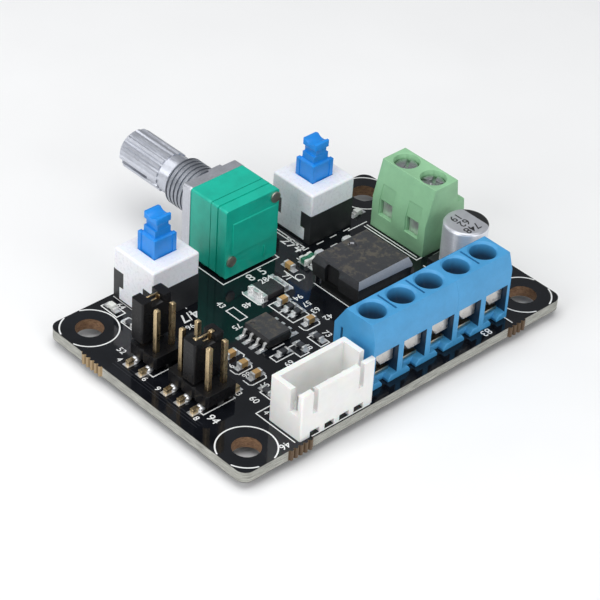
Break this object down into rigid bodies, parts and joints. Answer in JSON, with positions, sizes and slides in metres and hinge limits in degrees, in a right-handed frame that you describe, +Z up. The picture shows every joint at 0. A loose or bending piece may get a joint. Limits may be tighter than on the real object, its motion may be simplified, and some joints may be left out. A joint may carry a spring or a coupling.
{
  "type": "servo driver board",
  "caption": "Small rectangular controller board with a knob shaft, push switches, screw terminals, pin headers with jumper caps and a white plug header.",
  "frame": {"origin": "centre of the four mounting holes, on the underside of the board", "axes": "+Z up out of the component side, +X along the long side towards the green screw terminal, +Y along the short side towards the potentiometer shaft"},
  "size_m": [0.0575, 0.0557, 0.0168],
  "materials": {
    "board": "glossy near-black solder mask over glass-fibre laminate",
    "solder": "bright tin solder",
    "pot_green": "satin green moulding",
    "pot_plate_metal": "dull die-cast",
    "shaft_metal": "machined, splined",
    "wiper": "moulded rotor",
    "rivet": "dull rivet",
    "lead": "tinned",
    "contact": "plated brass",
    "gold_pin": "gold plated",
    "switch_white": "white moulding",
    "switch_black": "black moulding",
    "switch_blue": "blue moulding",
    "spring_steel": "spring wire",
    "terminal_green": "satin green moulding",
    "terminal_blue": "satin blue moulding",
    "screw_steel": "zinc plated",
    "header_white": "milky white nylon",
    "header_black": "black moulding",
    "can": "drawn can, satin",
    "chip_black": "dark moulding compound",
    "resistor": "dark glaze",
    "capacitor_tan": "tan ceramic",
    "led_lens": "milky lens",
    "fuse_dark": "dark laminate"
  },
  "bodies": {
    "board": {"blue_terminal_contacts": "contact", "blue_terminal_housing_2way": "terminal_blue", "blue_terminal_housing_3way": "terminal_blue", "capacitor_base": "header_black", "capacitor_can": "can", "capacitor_leads": "lead", "chip_capacitors": "capacitor_tan", "chip_leds": "led_lens", "chip_resistors": "resistor", "chip_terminals": "lead", "fuse_body": "fuse_dark", "fuse_terminals": "lead", "green_terminal_contacts": "contact", "green_terminal_housing": "terminal_green", "ic_body": "chip_black", "ic_leads": "lead", "pcb": "board", "pin_header_base_2x2": "header_black", "pin_header_base_2x3": "header_black", "pin_header_pins": "gold_pin", "pot_bushing": "pot_plate_metal", "pot_front_housing": "pot_green", "pot_front_plate": "pot_plate_metal", "pot_pins": "lead", "pot_rear_housing": "pot_green", "pot_rivets": "rivet", "regulator_body": "chip_black", "regulator_leadframe": "lead", "solder_joints": "solder", "switch_base_1": "switch_black", "switch_base_2": "switch_black", "switch_frame_1": "switch_white", "switch_frame_2": "switch_white", "switch_pins": "lead", "white_header_housing": "header_white", "white_header_pins": "gold_pin"},
    "pot_shaft": {"pot_shaft": "shaft_metal", "pot_wipers": "wiper"},
    "plunger_1": {"switch_plunger_1": "switch_blue", "switch_spring_1": "spring_steel"},
    "plunger_2": {"switch_plunger_2": "switch_blue", "switch_spring_2": "spring_steel"},
    "jumper_1": {"jumper_cap_1": "header_black", "jumper_clip_1": "gold_pin"},
    "jumper_2": {"jumper_cap_2": "header_black", "jumper_clip_2": "gold_pin"},
    "green_clamp_1": {"green_clamp_1": "screw_steel"},
    "green_screw_1": {"green_screw_1": "screw_steel"},
    "green_clamp_2": {"green_clamp_2": "screw_steel"},
    "green_screw_2": {"green_screw_2": "screw_steel"},
    "blue_clamp_1": {"blue_clamp_1": "screw_steel"},
    "blue_screw_1": {"blue_screw_1": "screw_steel"},
    "blue_clamp_2": {"blue_clamp_2": "screw_steel"},
    "blue_screw_2": {"blue_screw_2": "screw_steel"},
    "blue_clamp_3": {"blue_clamp_3": "screw_steel"},
    "blue_screw_3": {"blue_screw_3": "screw_steel"},
    "blue_clamp_4": {"blue_clamp_4": "screw_steel"},
    "blue_screw_4": {"blue_screw_4": "screw_steel"},
    "blue_clamp_5": {"blue_clamp_5": "screw_steel"},
    "blue_screw_5": {"blue_screw_5": "screw_steel"}
  },
  "joints": [
    {"name": "pot_shaft_turn", "type": "hinge", "parent": "board", "child": "pot_shaft", "pos_m": [0.0001, 0.028, 0.0085], "axis": [0, 1, 0], "range_deg": [-150, 150]},
    {"name": "plunger_1_press", "type": "slide", "parent": "board", "child": "plunger_1", "axis": [0, 0, -1], "range_m": [0, 0.0025], "stiffness_N_per_m": 600, "springref_m": -0.0008, "deforming": ["switch_spring_1"]},
    {"name": "plunger_2_press", "type": "slide", "parent": "board", "child": "plunger_2", "axis": [0, 0, -1], "range_m": [0, 0.0025], "stiffness_N_per_m": 600, "springref_m": -0.0008, "deforming": ["switch_spring_2"]},
    {"name": "green_clamp_1_lift", "type": "slide", "parent": "board", "child": "green_clamp_1", "axis": [0, 0, 1], "range_m": [0, 0.0015]},
    {"name": "green_screw_1_turn", "type": "hinge", "parent": "board", "child": "green_screw_1", "pos_m": [0.0236, 0.00166, 0.009], "axis": [0, 0, -1], "range_deg": [0, 1084]},
    {"name": "green_clamp_2_lift", "type": "slide", "parent": "board", "child": "green_clamp_2", "axis": [0, 0, 1], "range_m": [0, 0.0015]},
    {"name": "green_screw_2_turn", "type": "hinge", "parent": "board", "child": "green_screw_2", "pos_m": [0.0236, 0.00674, 0.009], "axis": [0, 0, -1], "range_deg": [0, 1084]},
    {"name": "blue_clamp_1_lift", "type": "slide", "parent": "board", "child": "blue_clamp_1", "axis": [0, 0, 1], "range_m": [0, 0.0015]},
    {"name": "blue_screw_1_turn", "type": "hinge", "parent": "blue_clamp_1", "child": "blue_screw_1", "pos_m": [-0.00302, -0.01397, 0.006], "axis": [0, 0, 1], "range_deg": [0, 1084]},
    {"name": "blue_clamp_2_lift", "type": "slide", "parent": "board", "child": "blue_clamp_2", "axis": [0, 0, 1], "range_m": [0, 0.0015]},
    {"name": "blue_screw_2_turn", "type": "hinge", "parent": "blue_clamp_2", "child": "blue_screw_2", "pos_m": [0.00198, -0.01397, 0.006], "axis": [0, 0, 1], "range_deg": [0, 1084]},
    {"name": "blue_clamp_3_lift", "type": "slide", "parent": "board", "child": "blue_clamp_3", "axis": [0, 0, 1], "range_m": [0, 0.0015]},
    {"name": "blue_screw_3_turn", "type": "hinge", "parent": "blue_clamp_3", "child": "blue_screw_3", "pos_m": [0.00698, -0.01397, 0.006], "axis": [0, 0, 1], "range_deg": [0, 1084]},
    {"name": "blue_clamp_4_lift", "type": "slide", "parent": "board", "child": "blue_clamp_4", "axis": [0, 0, 1], "range_m": [0, 0.0015]},
    {"name": "blue_screw_4_turn", "type": "hinge", "parent": "blue_clamp_4", "child": "blue_screw_4", "pos_m": [0.01198, -0.01397, 0.006], "axis": [0, 0, 1], "range_deg": [0, 1084]},
    {"name": "blue_clamp_5_lift", "type": "slide", "parent": "board", "child": "blue_clamp_5", "axis": [0, 0, 1], "range_m": [0, 0.0015]},
    {"name": "blue_screw_5_turn", "type": "hinge", "parent": "blue_clamp_5", "child": "blue_screw_5", "pos_m": [0.01698, -0.01397, 0.006], "axis": [0, 0, 1], "range_deg": [0, 1084]},
    {"name": "jumper_1_pull", "type": "slide", "parent": "board", "child": "jumper_1", "axis": [0, 0, 1], "range_m": [0, 0.0066]},
    {"name": "jumper_2_pull", "type": "slide", "parent": "board", "child": "jumper_2", "axis": [0, 0, 1], "range_m": [0, 0.0066]}
  ],
  "couplings": [
    {"joint": "green_screw_1_turn", "follows": "green_clamp_1_lift", "rad_per_m": 12566},
    {"joint": "green_screw_2_turn", "follows": "green_clamp_2_lift", "rad_per_m": 12566},
    {"joint": "blue_screw_1_turn", "follows": "blue_clamp_1_lift", "rad_per_m": 12566},
    {"joint": "blue_screw_2_turn", "follows": "blue_clamp_2_lift", "rad_per_m": 12566},
    {"joint": "blue_screw_3_turn", "follows": "blue_clamp_3_lift", "rad_per_m": 12566},
    {"joint": "blue_screw_4_turn", "follows": "blue_clamp_4_lift", "rad_per_m": 12566},
    {"joint": "blue_screw_5_turn", "follows": "blue_clamp_5_lift", "rad_per_m": 12566}
  ]
}
